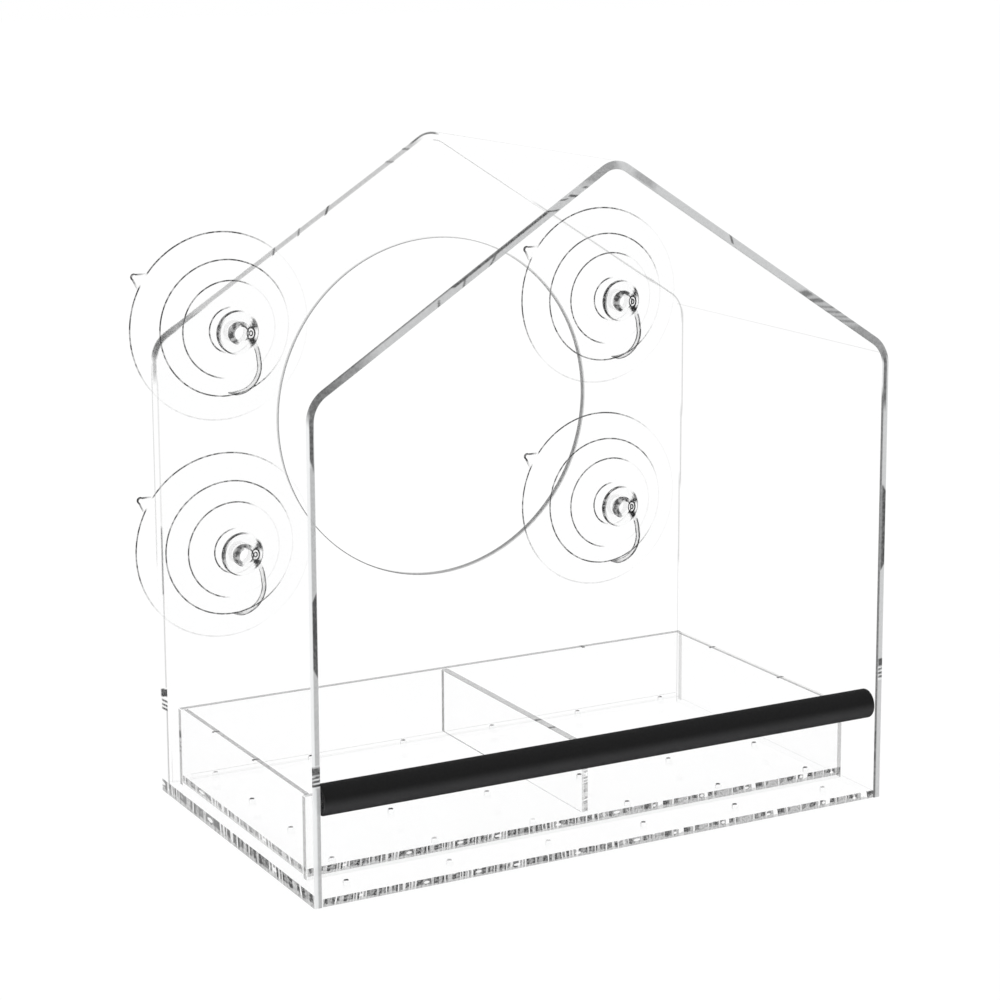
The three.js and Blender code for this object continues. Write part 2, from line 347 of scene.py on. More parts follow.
def clamp(value):
    return min(max(value, 0.0), 1.0)


CLEAR = (0.0, 0.0, 0.0)

# How much finer the saw marks run across the width than along the depth
SIDEWAYS = 0.42


def grey(level):
    """The finish of an edge that shows one grey of painted shade."""
    return (tone(level), 0.0, 0.0)


def sawn(strength):
    """The finish of a sawn edge."""
    return (0.0, strength, 0.0)


class Build:
    """A mesh under construction, whose corners carry painted edge shade, sawn marks, opacity and a place.
    """

    def __init__(self):
        self.names = {}
        self.points = []
        self.faces = []
        self.finishes = []
        self.uvs = []
        self.smooths = []

    def point(self, p):
        key = tuple(round(c * 1e7) for c in p)
        if key not in self.names:
            self.names[key] = len(self.points)
            self.points.append(tuple(p))
        return self.names[key]

    def face(self, corners, finish=CLEAR, uv=None, smooth=False):
        """Adds a face; the finish is one for all corners, or a list with one for each."""
        finish = finish if isinstance(finish, list) else [finish] * len(corners)
        uv = uv or [(0.0, 0.0)] * len(corners)
        kept = [i for i, name in enumerate(corners) if name not in corners[:i]]
        if len(kept) < 3:
            return
        self.faces.append([corners[i] for i in kept])
        self.finishes.append([finish[i] for i in kept])
        self.uvs.append([uv[i] for i in kept])
        self.smooths.append(smooth)

    def face_towards(self, corners, outward, finish, uv=None):
        """Adds a flat face, its corners turned so that it points outward."""
        a, b, c = (Vector(self.points[name]) for name in corners[:3])
        if (b - a).cross(c - a).dot(Vector(outward)) < 0:
            corners = corners[::-1]
            uv = uv[::-1] if uv else uv
        self.face(list(corners), finish, uv)

    def skin(self, rings, look, closed=False, turned=False, smooth=True):
        """Adds the faces between rings of corners; look(ring, place) gives the finish of each."""
        for i in range(len(rings) if closed else len(rings) - 1):
            one, two = rings[i], rings[(i + 1) % len(rings)]
            for k in range(len(one)):
                m = (k + 1) % len(one)
                corners = [one[k], one[m], two[m], two[k]] if turned else [one[k], two[k], two[m], one[m]]
                self.face(corners, look(i, k), None, smooth)

    def object(self, name, material):
        mesh = bpy.data.meshes.new(name)
        mesh.from_pydata(self.points, [], self.faces)
        layers = [mesh.attributes.new(key, "FLOAT", "CORNER") for key in ("edge_shade", "mottle", "solid")]
        finishes = [f for face in self.finishes for f in face]
        for number, layer in enumerate(layers):
            layer.data.foreach_set("value", [f[number] for f in finishes])
        edge = mesh.uv_layers.new(name="edge")
        edge.data.foreach_set("uv", [c for face in self.uvs for uv in face for c in uv])
        mesh.polygons.foreach_set("use_smooth", self.smooths)
        mesh.materials.append(material)
        made = bpy.data.objects.new(name, mesh)
        bpy.context.scene.collection.objects.link(made)
        return made


def offset_loop(loop, distance):
    """A closed 2D loop moved to its left by `distance`, with mitred corners."""
    moved = []
    n = len(loop)
    for i in range(n):
        a, b, c = (Vector(loop[(i + k - 1) % n]) for k in range(3))
        one = (b - a).normalized()
        two = (c - b).normalized()
        left = Vector((-one.y, one.x))
        other = Vector((-two.y, two.x))
        mean = left + other
        mean *= 1 / max(mean.dot(left), 0.2)
        moved.append(b + mean * distance)
    return moved


def divided(loop, step):
    """The loop with its long sides divided."""
    out = []
    n = len(loop)
    for i in range(n):
        a, b = Vector(loop[i]), Vector(loop[(i + 1) % n])
        count = max(1, math.ceil((b - a).length / step - 1e-6))
        out.extend(a.lerp(b, k / count) for k in range(count))
    return out


def turns(count):
    """Angles evenly round a circle."""
    return [math.tau * i / count for i in range(count)]


def circle(x, y, radius, sides):
    return [Vector((x + radius * math.cos(t), y - radius * math.sin(t))) for t in turns(sides)]


def sheet_mesh(build, loops, matrix, thickness, edge_break, look, flat_finish=CLEAR):
    """A flat sheet: loops[0] turns left round the outside, the others turn right round holes.

    The sheet lies in the matrix's XY plane from 0 to `thickness`. look(kind, loop, place,
    middle) gives the finish of a near_line, near_cut, far_cut or far_line at either end of one
    side of the loop, whose middle it is told too.
    """
    rings = []
    for number, loop in enumerate(loops):
        inset = offset_loop(loop, edge_break)
        levels = (
            (inset, 0.0), (loop, edge_break), (loop, thickness / 2),
            (loop, thickness - edge_break), (inset, thickness),
        )
        rings.append([[build.point(matrix @ Vector((*p, z))) for p in ring] for ring, z in levels])
        run = 0.0
        for i in range(len(loop)):
            j = (i + 1) % len(loop)
            places = (loop[i], loop[j], loop[j], loop[i])
            middle = (Vector(loop[i]) + Vector(loop[j])) / 2
            further = run + (Vector(loop[j]) - Vector(loop[i])).length
            for level, kind in enumerate(("near_line", "near_cut", "far_cut", "far_line")):
                low, high = rings[-1][level], rings[-1][level + 1]
                v, w = levels[level][1], levels[level + 1][1]
                finish = [look(kind, number, p, middle) for p in places]
                uv = [(run, v), (further, v), (further, w), (run, w)]
                build.face([low[i], low[j], high[j], high[i]], finish, uv)
            run = further
    flat = [[Vector((*p, 0.0)) for p in offset_loop(loop, edge_break)] for loop in loops]
    triangles = tessellate_polygon(flat)
    up = matrix.to_3x3() @ Vector((0, 0, 1))
    for level in (0, 4):
        names = [name for ring in rings for name in ring[level]]
        outward = up if level else -up
        for triangle in triangles:
            build.face_towards([names[k] for k in triangle], outward, flat_finish)


SIDE_NAMES = (("left", "right"), ("front", "back"), ("bottom", "top"))


def slab(build, low, high, edge_break, cuts, look):
    """A box with broken edges, divided at the cuts; look(sides, centre) gives a face's finish."""
    ends = list(zip(low, high))
    lines = []
    for first, last, places in zip(low, high, cuts):
        first, last = first + edge_break, last - edge_break
        lines.append(sorted({first, last, *(v for v in places if first < v < last)}))

    def add(corners, signs, sides):
        centre = sum((Vector(c) for c in corners), Vector()) / len(corners)
        spans = [max(c[k] for c in corners) - min(c[k] for c in corners) for k in range(3)]
        wide, narrow = sorted(range(3), key=lambda k: -spans[k])[:2]
        base = min(c[narrow] for c in corners)
        scale = SIDEWAYS if wide == 1 else 1
        uv = [((c[wide] - low[wide]) * scale, c[narrow] - base) for c in corners]
        build.face_towards([build.point(c) for c in corners], Vector(signs), look(sides, centre), uv)

    for signs in product((-1, 0, 1), repeat=3):
        held = [k for k in range(3) if signs[k]]
        free = [k for k in range(3) if not signs[k]]
        if not held:
            continue

        def corner(proud, along=()):
            """On the outer face of the axis `proud`, the edge break short of the others."""
            place = [0.0, 0.0, 0.0]
            for k in held:
                place[k] = ends[k][signs[k] > 0] if k == proud else lines[k][-(signs[k] > 0)]
            for k, v in zip(free, along):
                place[k] = v
            return place

        if len(held) == 3:
            add([corner(k) for k in held], signs, {"corner"})
            continue
        sides = {SIDE_NAMES[k][signs[k] > 0] for k in held}
        for spans in product(*(zip(lines[k], lines[k][1:]) for k in free)):
            if len(held) == 1:
                (a, b), (c, d) = spans
                corners = [corner(held[0], p) for p in ((a, c), (b, c), (b, d), (a, d))]
            else:
                (a, b), = spans
                corners = [corner(held[e], (v,)) for e, v in ((0, a), (0, b), (1, b), (1, a))]
            add(corners, signs, sides)


STANDING = Matrix(((1, 0, 0, 0), (0, 0, -1, 0), (0, 1, 0, 0), (0, 0, 0, 1)))


def at(x, y, z):
    return Matrix.Translation((x, y, z))


def ride(piece, body, slot, *nodes):
    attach(piece, body)
    if nodes:
        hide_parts(*nodes)


# The bent sheet


def bent_line(sheet, inset, steps=20):
    """The house outline in X and Z, from the left foot over the ridge to the right foot."""
    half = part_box("house_shell")[1][0]
    corners = [
        Vector((-half, 0)),
        Vector((-half, sheet.eave_height)),
        Vector((0, sheet.peak_height)),
        Vector((half, sheet.eave_height)),
        Vector((half, 0)),
    ]
    radii = (0, sheet.eave_bend, sheet.peak_bend, sheet.eave_bend, 0)
    line = [corners[0] + Vector((inset, 0))]
    for i in (1, 2, 3):
        before = (corners[i] - corners[i - 1]).normalized()
        after = (corners[i + 1] - corners[i]).normalized()
        turn = before.angle(after)
        inward = Vector((before.y, -before.x))
        centre = corners[i] - before * radii[i] * math.tan(turn / 2) + inward * radii[i]
        start = math.atan2(-inward.y, -inward.x)
        for k in range(steps + 1):
            angle = start - turn * k / steps
            line.append(centre + Vector((math.cos(angle), math.sin(angle))) * (radii[i] - inset))
    line.append(corners[4] - Vector((inset, 0)))
    return line


# Light caught in the cut edges of the bent sheet. Each stroke is painted over those before it:
# from, to (mm round the outline from the left foot), from, to (share of the thickness from the
# outer face), grey, softness and lean of its ends (mm)
FRONT_STROKES = (
    (-9, 130, 0.33, 0.99, 194, 2, 0),
    (-9, 36, 0.2, 0.5, 250, 2, 0),
    (36.2, 42.7, -1, 2, 249, 0.3, 0),
    (36.4, 37.2, -1, 2, 84, 0.2, 0),
    (37.7, 38.5, -1, 2, 84, 0.2, 0.4),
    (38.9, 39.6, -1, 2, 84, 0.2, 0.4),
    (39.9, 42.3, -1, 2, 88, 0.3, 0),
    (70.5, 84, 0.36, 0.94, 80, 0.6, -5),
    (80, 91.5, 0.36, 0.94, 80, 0.6, 5),
    (130.5, 147, 0.34, 0.86, 95, 1.5, -6),
    (142, 164, -1, 0.95, 114, 5, -5),
    (157, 180, -1, 2, 150, 9, 0),
    (169, 256, -1, 2, 207, 9, 0),
    (150, 203, -1, 0.12, 98, 2, 0),
    (202.5, 239, 0.0, 0.33, 92, 0.8, 3),
    (195.3, 196.1, 0.3, 2, 118, 0.3, -1.5),
    (205.1, 206, 0.3, 2, 118, 0.3, -2.5),
    (216.4, 217.5, 0.25, 2, 100, 0.3, -5),
    (239.5, 240.4, 0, 0.85, 95, 0.3, 4.5),
    (245.4, 246.3, 0, 0.5, 110, 0.3, 5),
    (246.9, 248, 0.25, 2, 90, 0.3, 3),
    (251.4, 252.3, 0.5, 2, 118, 0.3, 3),
    (253.5, 268, -1, 2, 162, 4, 3),
    (266, 347, -1, 2, 211, 4, 0),
    (273, 281, -1, 0.85, 176, 3, 0),
    (313.2, 314.3, 0, 0.75, 112, 0.3, 3),
    (345, 372, -1, 2, 190, 3, -4),
    (345.2, 348.4, 0.2, 0.95, 122, 1, -3),
    (350.2, 352.6, 0.1, 2, 128, 0.8, -4),
    (355, 356.2, -1, 2, 140, 0.6, -5),
    (358.2, 359.6, -1, 2, 138, 0.6, -5),
    (361.4, 362.4, -1, 2, 148, 0.6, -5),
    (364.2, 365.8, -1, 2, 142, 0.6, -5),
    (368, 389, -1, 2, 155, 3, -4),
    (386.4, 388, -1, 0.2, 72, 0.6, 4),
    (387, 540, -1, 2, 244, 4, 0),
    (387, 540, 0.12, 0.74, 213, 4, 0),
    (384, 402, 0.36, 0.84, 112, 4, 0),
    (397, 540, 0.74, 2, 126, 4, 0),
    (427.5, 455, 0.6, 0.9, 148, 0.7, 0),
    (427.6, 442, 0.06, 0.62, 86, 0.6, -4),
    (440, 454.6, 0.06, 0.62, 86, 0.6, 4),
    (484.2, 486.8, -1, 0.7, 80, 0.2, 0),
    (487, 491.3, -1, 0.74, 247, 0.2, 0),
    (487.4, 488.1, -1, 0.7, 86, 0.2, 0.3),
    (488.7, 489.4, -1, 0.7, 86, 0.2, 0.3),
    (490, 490.7, -1, 0.7, 92, 0.2, 0.3),
    (508, 513.5, 0.8, 2, 98, 1, 0),
    (515.5, 518.5, 0.8, 2, 98, 1, 0),
)
BACK_STROKES = (
    (-9, 27.3, 0.88, 2, 178, 1, 0),
    (27.1, 27.8, 0.3, 2, 80, 0.2, -1.6),
    (28.4, 29.1, 0.3, 2, 80, 0.2, -1.6),
    (29.8, 30.5, 0.3, 2, 80, 0.2, -1.6),
    (31.4, 34, 0.2, 2, 76, 0.2, -0.6),
    (34.2, 66, 0.84, 0.98, 200, 1, 0),
    (65.5, 88, 0.8, 0.96, 105, 0.8, 0),
    (88, 136, 0.8, 0.92, 226, 3, 0),
    (76, 140, 0.06, 0.18, 205, 4, 0),
    (136, 146, 0.3, 0.8, 190, 4, 0),
    (143.5, 157, 0.12, 0.9, 124, 3, 0),
    (154, 168, 0.16, 0.85, 158, 7, 0),
    (163, 260, 0.14, 0.72, 197, 5, 0),
    (196.9, 197.8, 0.1, 0.85, 112, 0.3, -2),
    (207.6, 208.4, 0.1, 0.85, 130, 0.3, -2),
    (219.4, 220.6, 0.05, 0.85, 105, 0.3, -3),
    (246.9, 247.9, 0.1, 0.8, 140, 0.3, 3),
    (254.2, 255.2, 0.1, 0.7, 118, 0.3, 3),
    (257, 268, 0.1, 0.36, 118, 2, 0),
    (313, 370, 0.6, 0.78, 203, 5, 0),
    (366, 390, 0.46, 0.64, 208, 4, 0),
    (387, 424, 0.3, 0.46, 203, 4, 0),
    (422, 450, 0.46, 0.62, 203, 4, 0),
    (447, 478, 0.68, 0.84, 205, 4, 0),
    (475, 540, 0.84, 0.99, 208, 4, 0),
)


# How far beyond its ends a stroke can leave painted shade (mm), and how soft its sides are (share)
STROKE_REACH = 12
SOFT_SIDE = 0.08


def stroke_shade(strokes, share, run):
    """The painted shade that the strokes leave at one place of a cut edge."""
    edge_shade = 0.0
    for start, end, outer, inner, level, soft, lean in strokes:
        if not start - STROKE_REACH < run < end + STROKE_REACH:
            continue
        place = run - lean * (share - 0.5)
        length = clamp((place - start) / soft + 0.5) * clamp((end - place) / soft + 0.5)
        width = clamp((share - outer) / SOFT_SIDE + 0.5) * clamp((inner - share) / SOFT_SIDE + 0.5)
        edge_shade += (tone(level) - edge_shade) * length * width
    return edge_shade


def outline_rows(sheet):
    """Places round the house: on the outer face, on the inner face, and the run up to there."""
    outer, inner = bent_line(sheet, 0), bent_line(sheet, sheet.thickness)
    rows = []
    run = 0.0
    for i in range(len(outer) - 1):
        length = (outer[i + 1] - outer[i]).length
        count = max(1, math.ceil(length / 0.0004 - 1e-6))
        for k in range(count):
            one, two = (line[i].lerp(line[i + 1], k / count) for line in (outer, inner))
            rows.append((one, two, run + length * k / count))
        run += length
    rows.append((outer[-1], inner[-1], run))
    return rows


# Faint lines of painted reflection where the bends begin: mm round the outline, half the width of each,
# and its grey
OUTER_BEND = (268.3, 0.2, 196)
INNER_BEND = (383.0, 0.25, 236)


def house_shell(sheet, material):
    """The bent sheet as one closed sweep of its section along the house outline."""
    low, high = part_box("house_shell")
    floor_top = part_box("floor_panel")[1][2]
    strip_top = floor_top + 0.0015
    t, c = sheet.thickness, sheet.edge_break
    front, back = low[1], high[1]
    shares = (c / t, 0.2, 0.3, 0.4, 0.5, 0.6, 0.7, 0.8, 1 - c / t)
    ring = [(s, front) for s in shares] + [(1.0, front + c), (1.0, back - c)]
    ring += [(s, back) for s in reversed(shares)] + [(0.0, back - c), (0.0, front + c)]
    kinds = ["front"] * 9 + ["inner"] + ["back"] * 10 + ["outer", "front"]
    build = Build()
    rows = outline_rows(sheet)
    placed, edge_shades = [], []
    for outer, inner, run in rows:
        line = [(*outer.lerp(inner, share), y) for share, y in ring]
        placed.append([build.point((x, y, z)) for x, z, y in line])
        strokes = [FRONT_STROKES if y < 0 else BACK_STROKES for share, y in ring]
        edge_shades.append([stroke_shade(s, share, run * 1000) for s, (share, y) in zip(strokes, ring)])
    for k, (a, b) in enumerate(zip(placed, placed[1:])):
        run, further = rows[k][2], rows[k + 1][2]
        middle = (run + further) * 500
        for p, kind in enumerate(kinds):
            q = (p + 1) % len(ring)
            corners = [a[p], a[q], b[q], b[p]]
            (s, y), (s_next, y_next) = ring[p], ring[q]
            if kind in ("front", "back"):
                solid = 0.92 if kind == "front" else 0.0
                four = (edge_shades[k][p], edge_shades[k][q], edge_shades[k + 1][q], edge_shades[k + 1][p])
                uv = [(run, s * t), (run, s_next * t), (further, s_next * t), (further, s * t)]
                build.face(corners, [(edge_shade, 0.0, solid) for edge_shade in four], uv)
                continue
            place, half, level = OUTER_BEND if kind == "outer" else INNER_BEND
            finish = grey(level) if abs(middle - place) < half else CLEAR
            uv = [(y, run), (y_next, run), (y_next, further), (y, further)]
            if kind == "outer" and further <= strip_top:
                # The left foot shows the sawn side of the floor, stronger towards the back
                finish = [sawn(1.35 - 0.35 * (back - y) / (back - front)) for y, r in uv]
                uv = [((y - front) * SIDEWAYS, r * floor_top / strip_top) for y, r in uv]
            build.face(corners, finish, uv, True)
    build.face(placed[0][::-1])
    build.face(placed[-1])
    return build.object("house_sheet", material)


def back_panel(sheet, material):
    """The five-sided back with its round opening and the neck holes."""
    low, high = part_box("back_panel")
    outline = bent_line(sheet, sheet.thickness + BOND_GAP)
    outline[0].y = outline[-1].y = low[2]
    outline.reverse()
    loops = [divided(outline, 0.006), circle(0, sheet.opening_height, sheet.opening_radius, 160)]
    neck_hole = bpy.context.scene.feeder_cups.neck + NECK_PLAY
    loops += [circle(*cup_axis(side), neck_hole, 32) for side in SIDES]

    def look(kind, loop, place, middle):
        x, z = place
        # The greys are painted light and shade on the cut edges: round the opening they change with the
        # angle round it; the neck holes, the foot and the right side get pale lines
        if loop == 1:
            angle = math.atan2(z - sheet.opening_height, x)
            right = clamp(0.5 + math.cos(angle) * 1.6)
            lit = 160 - 46 * clamp(0.5 + 0.75 * math.cos(angle + 0.9))
            on_left = {"far_cut": 1.0, "far_line": 1.0, "near_cut": 0.55}.get(kind, 0.0)
            on_right = 0.92 if kind.endswith("cut") else 0.45
            return (tone(lit) * (on_left + (on_right - on_left) * right), 0.0, 0.0)
        if loop > 1:
            return grey(240)
        if z < 0.01:
            return grey(238) if kind == "far_line" else CLEAR
        if x > 0 and kind == "far_line":
            return grey(196 + 58 * clamp((x - 0.024) / 0.024))
        return CLEAR

    build = Build()
    sheet_mesh(build, loops, at(0, high[1], 0) @ STANDING, sheet.thickness, sheet.edge_break, look)
    return build.object("back_sheet", material)


# From the outer drain holes to the side walls of the house, and to the front and back of the
# house's floor and of the tray
SIDE_MARGIN = 0.0125
HOUSE_MARGIN = 0.0106
TRAY_MARGIN = 0.005


def drain_places(low, high, margin, sheet):
    """Columns and rows of the drain holes of a floor between two depths."""
    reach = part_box("house_shell")[1][0] - sheet.thickness - SIDE_MARGIN
    across, deep = sheet.drain_columns - 1, sheet.drain_rows - 1
    columns = [-reach + 2 * reach * c / across for c in range(across + 1)]
    rows = [low + margin + (high - low - 2 * margin) * r / deep for r in range(deep + 1)]
    return columns, rows


def floor_sheet(name, node, places, sheet, material, look):
    """A drilled floor."""
    low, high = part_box(node)
    corners = [(low[0], low[1]), (high[0], low[1]), (high[0], high[1]), (low[0], high[1])]
    loops = [divided([Vector(p) for p in corners], 0.02)]
    loops += [circle(x, y, sheet.drain_radius, 24) for x in places[0] for y in places[1]]
    build = Build()
    sheet_mesh(build, loops, at(0, 0, low[2]), high[2] - low[2], sheet.edge_break * 0.7, look)
    return build.object(name, material)


# Drilled rims, repeated by geometry nodes


def rim_ring(sheet, depth, material):
    """The polished wall that the drill leaves, caught by the light at its upper edge."""
    build = Build()
    sides = 24
    radius = sheet.drain_radius - 0.00003
    inner = radius - 0.00014
    lip, leg = depth - 0.0005, depth - 0.0013
    levels = ((radius, 0.0), (radius, depth), (inner, depth), (inner, lip), (inner, leg), (inner, 0.0))
    rings = []
    for t in turns(sides):
        rings.append([build.point((r * math.cos(t), r * math.sin(t), z)) for r, z in levels])

    def look(ring, level):
        angle = math.degrees(math.tau * (ring + 0.5) / sides)
        far = clamp(1.7 - abs(angle - 72) / 29)
        near = clamp(1.35 - abs(angle - 160) / 25)
        greys = {1: 255 - 90 * far, 2: 255 - max(150 * far, 60 * near), 3: 255 - 40 * near}
        return grey(greys[level]) if level in greys else CLEAR

    build.skin(rings, look, closed=True, smooth=False)
    return build.object("rim_ring", material)


def rim_tree():
    """Geometry nodes: a grid of columns and rows with one drilled rim at each point."""
    tree = bpy.data.node_groups.new("drain_rims", "GeometryNodeTree")
    inputs = (
        ("Rim", "NodeSocketObject"), ("Columns", "NodeSocketInt"), ("Rows", "NodeSocketInt"),
        ("Width", "NodeSocketFloat"), ("Depth", "NodeSocketFloat"), ("Centre", "NodeSocketVector"),
        ("Material", "NodeSocketMaterial"),
    )
    for name, kind in inputs:
        tree.interface.new_socket(name, in_out="INPUT", socket_type=kind)
    tree.interface.new_socket("Geometry", in_out="OUTPUT", socket_type="NodeSocketGeometry")
    kinds = (
        "NodeGroupInput", "GeometryNodeMeshGrid", "GeometryNodeSetPosition", "GeometryNodeObjectInfo",
        "GeometryNodeInstanceOnPoints", "GeometryNodeRealizeInstances", "GeometryNodeSetMaterial",
        "NodeGroupOutput",
    )
    source, grid, shift, info, place, real, finish, out = (tree.nodes.new(kind) for kind in kinds)
    links = (
        (source, "Columns", grid, "Vertices X"), (source, "Rows", grid, "Vertices Y"),
        (source, "Width", grid, "Size X"), (source, "Depth", grid, "Size Y"),
        (grid, "Mesh", shift, "Geometry"), (source, "Centre", shift, "Offset"),
        (source, "Rim", info, "Object"), (shift, "Geometry", place, "Points"),
        (info, "Geometry", place, "Instance"), (place, "Instances", real, "Geometry"),
        (real, "Geometry", finish, "Geometry"), (source, "Material", finish, "Material"),
        (finish, "Geometry", out, "Geometry"),
    )
    for first, output, second, entry in links:
        tree.links.new(first.outputs[output], second.inputs[entry])
    return tree


def drain_rims(name, node, places, sheet, material, tree):
    """All the drilled rims of one floor as a plain mesh."""
    columns, rows = places
    low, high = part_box(node)
    ring = rim_ring(sheet, high[2] - low[2], material)
    host = bpy.data.objects.new(name + "_host", bpy.data.meshes.new(name + "_host"))
    bpy.context.scene.collection.objects.link(host)
    grown = host.modifiers.new("rims", "NODES")
    grown.node_group = tree
    values = {
        "Rim": ring, "Material": material, "Columns": len(columns), "Rows": len(rows),
        "Width": columns[-1] - columns[0], "Depth": rows[-1] - rows[0],
        "Centre": (0.0, (rows[0] + rows[-1]) / 2, low[2]),
    }
    for item in tree.interface.items_tree:
        if item.in_out == "INPUT":
            grown[item.identifier] = values[item.name]
    bpy.context.view_layer.update()
    graph = bpy.context.evaluated_depsgraph_get()
    mesh = bpy.data.meshes.new_from_object(host.evaluated_get(graph))
    mesh.name = name
    made = bpy.data.objects.new(name, mesh)
    bpy.context.scene.collection.objects.link(made)
    for spare in (host, ring):
        bpy.data.objects.remove(spare)
    return made


# Suction cups


def cup_axis(side):
    low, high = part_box("suction_cup_" + side)
    reach = bpy.context.scene.feeder_cups.rim
    x = (high[0] - reach) if "right" in side else (low[0] + reach)
    return x, low[2] + reach


def arc_shade(angle, spans):
    """The painted shade at an angle in degrees of a moulded edge; a span is from, to, rise, fall, grey.
    """
    edge_shade = 0.0
    for start, end, rise, fall, level in spans:
        for a in (angle, angle + 360, angle - 360):
            edge_shade = max(edge_shade, tone(level) * clamp((a - start) / rise) * clamp((end - a) / fall))
    return edge_shade


def arc_finish(place, count, spans):
    """The finish of one of `count` faces round a moulded edge."""
    one, two = (arc_shade(360 * p / count, spans) for p in (place, place + 1))
    return [(one, 0, 0), (two, 0, 0), (two, 0, 0), (one, 0, 0)]


# Where each moulded edge of a cup catches the light, in degrees round the axis
CUP_ARCS = {
    "head_back": ((92, 262, 16, 16, 34), (-30, 76, 22, 22, 215)),
    "head_side": ((46, 258, 16, 16, 76),),
    "head_line": ((46, 258, 16, 16, 32),),
    "head_edge": ((96, 246, 16, 16, 150), (-64, 98, 18, 18, 54)),
    "hub": ((88, 258, 24, 24, 70), (250, 330, 30, 30, 236)),
    "inner": ((58, 264, 16, 16, 84), (-70, 70, 20, 20, 244)),
    "outer": ((12, 336, 38, 38, 82), (-40, 60, 20, 20, 244)),
    "rim": (
        (44, 144, 40, 1, 66), (152, 226, 1, 40, 66), (215, 300, 25, 25, 230), (-60, 60, 20, 20, 249),
    ),
}


def suction_cup(side, cups, material):
    """A stepped vinyl dome with its neck and head, the moulded steps drawn as fine edges."""
    x, z = cup_axis(side)
    panel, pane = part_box("back_panel")[1][1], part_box("suction_cup_" + side)[1][1]
    rim, deep, w = cups.rim / MM, (pane - panel) / MM, cups.line / MM
    neck = cups.neck / MM
    # Radius and depth from the panel's back (mm), from the head round to the hollow, and the
    # name of each edge that catches the light
    profile = [
        (0.0, -6.65, ""), (2.75 - w, -6.65, "head_edge"), (2.75, -6.6, "head_line"),
        (3.3, -6.35, "head_side"), (3.65, -5.9, "head_side"), (3.8, -5.4, "head_back"),
        (3.8, -4.8, ""), (3.7, -4.5, ""), (neck, -4.5, ""), (neck, 0.3, ""), (7.2, 0.3, ""),
        (7.4, 0.45, ""), (7.75 - w, 1.85, "hub"), (7.75, 1.9, ""), (9.6, 1.85, ""),
        (12.2, 2.0, ""), (14.0, 2.3, ""), (15.3, 2.8, ""), (16.2 - w, 3.5, "inner"),
        (16.2, 3.55, ""), (16.4, 3.9, ""), (17.8, 4.5, ""), (19.6, 5.2, ""), (21.2, 5.9, ""),
        (22.2, 6.5, ""), (22.6 - w, 7.05, "outer"), (22.6, 7.1, ""), (22.8, 7.6, ""),
        (24.8, 8.45, ""), (27.3, 9.5, ""), (29.6, 10.6, ""), (rim - 0.6 - w, deep - 1.2, "rim"),
        (rim - 0.6, deep - 1.15, ""), (rim - 0.45, deep - 0.9, ""), (rim - 0.45, deep - 0.15, ""),
        (rim - 0.6, deep, ""), (rim - 3, deep, ""), (25.9, 10.5, ""), (22.0, 9.0, ""),
        (17.9, 7.9, ""), (13.0, 6.9, ""), (8.6, 6.4, ""), (4.0, 6.1, ""), (0.0, 6.0, ""),
    ]
    build = Build()
    n = cups.sides
    rows = []
    for r, a, _ in profile:
        r, y = r * MM, panel + a * MM
        rows.append([build.point((x + r * math.cos(t), y, z + r * math.sin(t))) for t in turns(n)])
    build.skin(rows, lambda k, i: arc_finish(i, n, CUP_ARCS.get(profile[k][2], ())), turned=True)
    pull_tab(build, x, z, pane, cups)
    return build.object("cup_" + side, material)


def pull_tab(build, x, z, back, cups):
    """The rounded tab on the rim, outlined like the rim."""
    angle = math.radians(148)
    root, centre, radius = cups.rim - 1.2 * MM, cups.rim + 2.2 * MM, 1.2 * MM
    outline = [(root, -3.3 * MM)]
    for i in range(9):
        turn = -math.pi / 2 + math.pi * i / 8
        outline.append((centre + radius * math.cos(turn), radius * math.sin(turn)))
    outline.append((root, 3.3 * MM))
    ca, sa = math.cos(angle), math.sin(angle)
    place = Matrix(((ca, -sa, 0, x), (0, 0, -1, back), (sa, ca, 0, z), (0, 0, 0, 1)))

    def look(kind, loop, place, middle):
        # The tab's edges, beyond its root, are drawn in a grey of painted shade
        return CLEAR if place[0] < root + 0.1 * MM else grey(78)

    sheet_mesh(build, [[Vector(p) for p in outline]], place, 1.1 * MM, cups.line, look)


# Where the edges of a hook's ring plate catch the light, with wedges of painted shadow at the rod's root
PLATE_ARCS = {
    "edge": ((68, 268, 26, 26, 42), (-48, 44, 16, 16, 190)),
    "face": ((128, 218, 34, 34, 150), (2, 48, 12, 14, 56), (-56, -16, 12, 12, 58)),
    "shadow_wedge": ((4, 40, 9, 14, 56), (-50, -18, 11, 9, 58)),
    "shadow_wedge_low": ((10, 32, 6, 12, 60), (-46, -23, 9, 6, 60)),
    "shadow_wedge_root": ((15, 27, 4, 8, 66), (-43, -29, 6, 4, 70)),
    "bore": ((120, 230, 30, 30, 130),),
}


